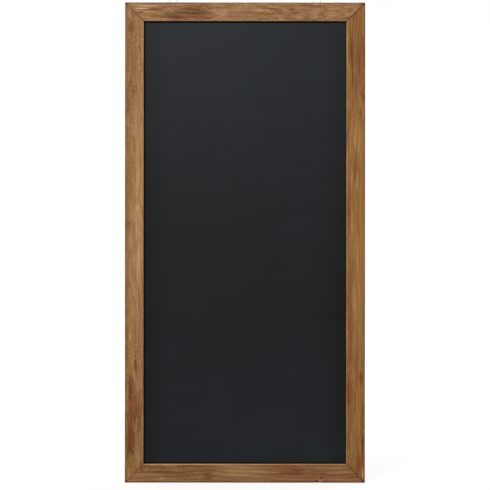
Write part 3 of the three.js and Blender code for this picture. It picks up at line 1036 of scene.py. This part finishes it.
def strap_section(eye, foot):
    """The folded strip seen from its side, as height and depth from the middle of the ring's
    bar: up the wood, round the eye, and down again on top of itself."""
    bore = eye - STRAP_STEEL
    joint = STRAP_STEEL - eye
    face = joint + STRAP_STEEL
    neck = -eye - STRAP_NECK
    # The outer layer leaves the eye on the tangent that meets its flat part at the neck.
    lean = math.pi + math.atan2(-face, -neck) - math.acos(eye / math.hypot(neck, face))
    slope = (face - eye * math.sin(lean)) / (neck - eye * math.cos(lean))
    meet = bore * math.cos(lean) + (joint + STRAP_SEAM - bore * math.sin(lean)) / slope
    turn = math.degrees(lean)
    outside = [(foot, -eye)] + arc((0, 0), eye, -90, turn, 28) + [(neck, face), (foot, face)]
    inside = [(foot, joint + STRAP_SEAM), (meet, joint + STRAP_SEAM)]
    inside += arc((0, 0), bore, turn, -90, 24)
    return outside + inside + [(neck, joint - STRAP_SEAM), (foot, joint - STRAP_SEAM)]


def build_strap(side, material):
    """A strip of steel folded round the ring's bar, its two layers pressed together."""
    node = f"hanger_strap_{side}"
    low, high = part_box(node)
    half = (high.x - low.x) / 2
    middle = (low.x + high.x) / 2
    eye = (high.y - low.y) / 2
    pivot_y, pivot_z = (low.y + high.y) / 2, high.z - eye
    hole_z = low.z + half

    def seen_from_side(point, x):
        return Vector((x, pivot_y + point[1], pivot_z + point[0]))

    section = strap_section(eye, low.z - pivot_z)
    piece = prism(f"strap_{side}", section, middle - half, middle + half, seen_from_side)
    kept = half - STRAP_TRIM
    plan = [(middle + kept, high.z + MM), (middle - kept, high.z + MM)]
    plan += arc((middle, hole_z), kept, 180, 360, 40)
    hole = arc((middle, hole_z), STRAP_HOLE_RADIUS, 0, 360, 40)[:-1]
    boolean(piece, prism("plan", plan, low.y - MM, high.y + MM), "INTERSECT")
    boolean(piece, prism("hole", hole, low.y - MM, high.y + MM), "DIFFERENCE")
    round_edges(piece, 0.12 * MM)
    finish_piece(piece, material, "board", node, sharp_from=30)


def screw_profile(low_y, high_y, head):
    """Half the screw's section as radius and height: tip, ringed thread and domed head."""
    core, thread, pitch = 1.2 * MM, 1.75 * MM, 1.3 * MM
    tip, head_height, rim = 3 * MM, 2.0 * MM, 0.5 * MM
    seat = high_y - head_height
    profile = [(0, low_y), (core, low_y + tip)]
    for i in range(int((seat - low_y - tip) / pitch)):
        foot = low_y + tip + i * pitch
        profile += [(core, foot + 0.2 * pitch), (thread, foot + 0.6 * pitch), (core, foot + pitch)]
    profile += [(core, seat), (head - 0.15 * MM, seat), (head, seat + 0.12 * MM)]
    profile.append((head, seat + rim))
    for degrees in range(10, 90, 10):
        a = math.radians(degrees)
        profile.append((head * math.cos(a), seat + rim + (head_height - rim) * math.sin(a)))
    return profile + [(0, high_y)]


def cut_cross(piece, axis, top, turned):
    """Cuts a cross recess, which narrows as it goes down."""
    half_length, half_width = 2.1 * MM, 0.45 * MM
    for spin in (turned, turned + math.pi / 2):
        corners = []
        for level, grow in ((top - 1.2 * MM, 0.55), (top + MM, 1.25)):
            length, width = half_length * grow, half_width * (0.6 + 0.4 * grow)
            for a, b in SQUARE:
                corner = Matrix.Rotation(spin, 3, "Y") @ Vector((a * length, 0, b * width))
                corners.append(Vector((axis.x, level, axis.z)) + corner)
        boolean(piece, outward(new_object("recess", corners, tube(2, 4))), "DIFFERENCE")


def build_screw(side, material):
    """A pan-head screw with a tapered cross recess, its thread out of sight in the wood."""
    node = f"hanger_screw_{side}"
    low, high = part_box(node)
    axis = axis_of(node)
    profile = screw_profile(low.y, high.y, (high.x - low.x) / 2)
    piece = lathe(f"screw_{side}", profile, 48, axis)
    cut_cross(piece, axis, high.y, math.radians(24 if side == "left" else 61))
    finish_piece(piece, material, "board", node, sharp_from=32)


def bumper_profile(foot, top, radius):
    """Half the bumper's section as radius and height: rim, drawn-in side and dished top."""
    side, round_off, dish = radius - 0.5 * MM, 1.0 * MM, 0.22 * MM
    profile = [(0, foot), (radius - 0.1 * MM, foot), (radius, foot + 0.1 * MM)]
    profile += [(radius, foot + 0.7 * MM), (radius - 0.25 * MM, foot + 0.9 * MM)]
    profile += arc((side - round_off, top - round_off), round_off, 0, 90, 8)
    profile += [(side - 2.2 * MM, top), (side - 2.6 * MM, top - 0.18 * MM)]
    return profile + [(0.6 * MM, top - dish), (0, top - dish)]


def build_bumper(side, material):
    """A moulded rubber foot: a thin rim at its glued face, drawn-in sides and a dished top."""
    node = f"wall_bumper_{side}"
    low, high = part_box(node)
    profile = bumper_profile(low.y, high.y, (high.x - low.x) / 2)
    piece = lathe(f"bumper_{side}", profile, 64, axis_of(node))
    finish_piece(piece, material, "board", node, sharp_from=40)


def build_small_steel(node, material):
    """A V-nail or a retaining point: the CAD solid with its edges rounded."""
    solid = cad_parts[node]
    mesh = bmesh.new()
    mesh.from_mesh(solid.data)
    mesh.transform(solid.matrix_world)
    bmesh.ops.remove_doubles(mesh, verts=mesh.verts, dist=0.001 * MM)
    flat = math.radians(1)
    bmesh.ops.dissolve_limit(mesh, angle_limit=flat, verts=mesh.verts, edges=mesh.edges)
    mesh.verts.index_update()
    places = [v.co.copy() for v in mesh.verts]
    faces = [tuple(v.index for v in face.verts) for face in mesh.faces]
    mesh.free()
    piece = outward(new_object(f"steel_{node}", places, faces))
    round_edges(piece, 0.1 * MM)
    finish_piece(piece, material, "board", node)


# The stage


def seen_directly(nodes):
    """1 for what the camera sees, also in metal or through glass, and 0 for the light that
    falls on things."""
    rays = nodes.add("LightPath").outputs
    seen = nodes.math("MAXIMUM", rays["Is Camera Ray"], rays["Is Glossy Ray"])
    return nodes.math("MAXIMUM", seen, rays["Is Transmission Ray"])


def build_stage():
    """A pale floor. A glow that only the camera sees lifts it to white: less near the board,
    where its shadow falls, and more further out."""
    corners = [(x * FLOOR_REACH, y * FLOOR_REACH, 0) for x, y in SQUARE]
    floor = new_object("floor", corners, [(0, 1, 2, 3)])
    floor.location.z = -FLOOR_DROP
    material = bpy.data.materials.new("floor")
    material.use_nodes = True
    material.node_tree.nodes.clear()
    nodes = Nodes(material.node_tree)
    away = nodes.vector("LENGTH", nodes.add("TexCoord").outputs["Object"])
    level = nodes.step(away, GLOW_STARTS, GLOW_ENDS, GLOW_NEAR, GLOW_FAR)
    strength = nodes.times(level, seen_directly(nodes))
    glow = nodes.add("Emission", None, strength).outputs[0]
    diffuse = nodes.add("BsdfDiffuse", (*[FLOOR_TONE] * 3, 1)).outputs[0]
    both = nodes.add("AddShader", diffuse, glow).outputs[0]
    nodes.add("OutputMaterial", both)
    coat(floor, material)


def build_world():
    """Soft light from all round, which the camera and reflections see as white."""
    world = bpy.data.worlds.new("studio")
    bpy.context.scene.world = world
    world.use_nodes = True
    nodes = Nodes(world.node_tree)
    level = nodes.add("MapRange", seen_directly(nodes), 0.0, 1.0, AMBIENT, 1.0).outputs[0]
    background = world.node_tree.nodes["Background"]
    background.inputs["Color"].default_value = (1, 1, 1, 1)
    nodes.feed(background.inputs["Strength"], level)


def area_light(name, side, height, size, share):
    """A square light aimed at the board's middle, from side degrees to the right of the front
    and height degrees up. share is like AMBIENT, for a face turned to the light."""
    target = Vector((0, 0, HALF_HEIGHT))
    side, height = math.radians(side), math.radians(height)
    flat = math.cos(height)
    towards = Vector((math.sin(side) * flat, -math.cos(side) * flat, math.sin(height)))
    light = bpy.data.lights.new(name, "AREA")
    light.size = size
    light.energy = share * math.pi**2 * LAMP_DISTANCE**2
    lamp = in_scene(name, light)
    lamp.location = target + towards * LAMP_DISTANCE
    lamp.rotation_euler = towards.to_track_quat("Z", "Y").to_euler()


def build_camera():
    """The photograph's view, square on from the front."""
    camera = in_scene("camera", bpy.data.cameras.new("camera"))
    bpy.context.scene.camera = camera
    camera.location = (0, FRONT - CAMERA_DISTANCE, HALF_HEIGHT - CAMERA_BELOW_MIDDLE)
    facing = Matrix.Rotation(math.pi / 2, 4, "X") @ Matrix.Rotation(CAMERA_ROLL, 4, "Z")
    camera.rotation_euler = facing.to_euler()
    camera.data.sensor_width = 36
    camera.data.lens = camera.data.sensor_width * CAMERA_DISTANCE / (PHOTO_HEIGHT * PIXEL)
    camera.data.clip_end = 100


# Everything in place

build_camera()
build_world()
build_stage()
area_light("key", side=-14, height=27, size=0.7, share=0.694)
area_light("back", side=150, height=35, size=1.5, share=0.45)

for member in MEMBERS:
    build_member(member, wood(member))

zinc = plated("zinc_steel", 6, ("8f9296", "b4b7ba", "cfd1d3"), 0.38, 0.25)
bright = plated("bright_steel", 8, ("b0b2b6", "cacccf", "dfe0e2"), 0.2, 0.12)
black_rubber = rubber()
for side in ("left", "right"):
    build_ring(side, bright)
    build_strap(side, zinc)
    build_screw(side, zinc)
    build_bumper(side, black_rubber)

layers = {"writing_surface": laminate(), "panel_core": fibreboard(), "panel_backing": kraft_paper()}
for node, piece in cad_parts.items():
    if node in layers:
        coat(piece, layers[node])
    elif node.startswith(("v_nail", "retaining_point")):
        build_small_steel(node, zinc)

bpy.context.scene.view_settings.view_transform = "Standard"
